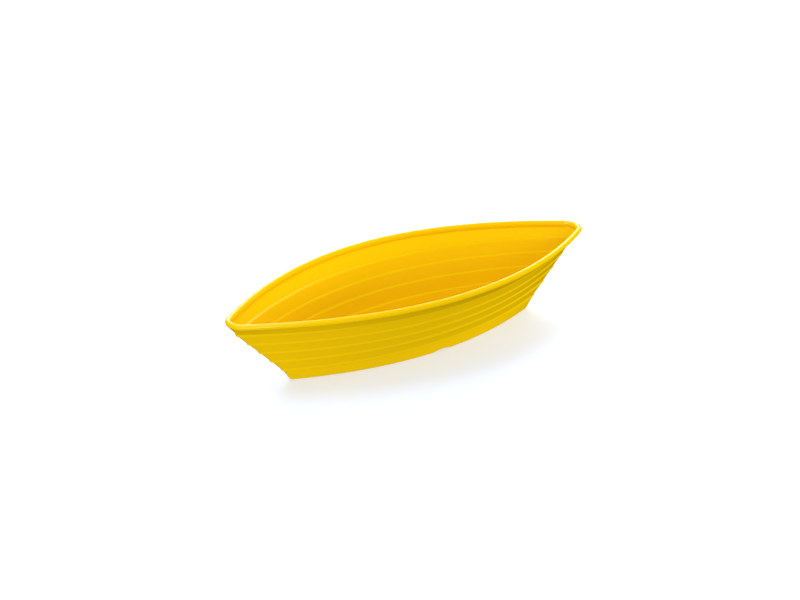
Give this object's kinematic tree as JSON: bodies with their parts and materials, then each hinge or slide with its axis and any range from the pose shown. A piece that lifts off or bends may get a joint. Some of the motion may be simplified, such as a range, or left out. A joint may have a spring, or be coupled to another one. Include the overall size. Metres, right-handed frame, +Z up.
{
  "type": "boat-shaped serving bowl",
  "caption": "Boat-shaped one-piece serving bowl with stepped clinker walls, pointed ends, a round rim bead and a shallow ring foot.",
  "frame": {"origin": "on the resting plane, under the middle of the bowl", "axes": "+X along the bowl from end to end, +Y across it, +Z up out of its mouth"},
  "size_m": [0.3, 0.1234, 0.0574],
  "materials": {
    "moulding": "gloss"
  },
  "bodies": {
    "root": {"bowl": "moulding"}
  },
  "joints": []
}
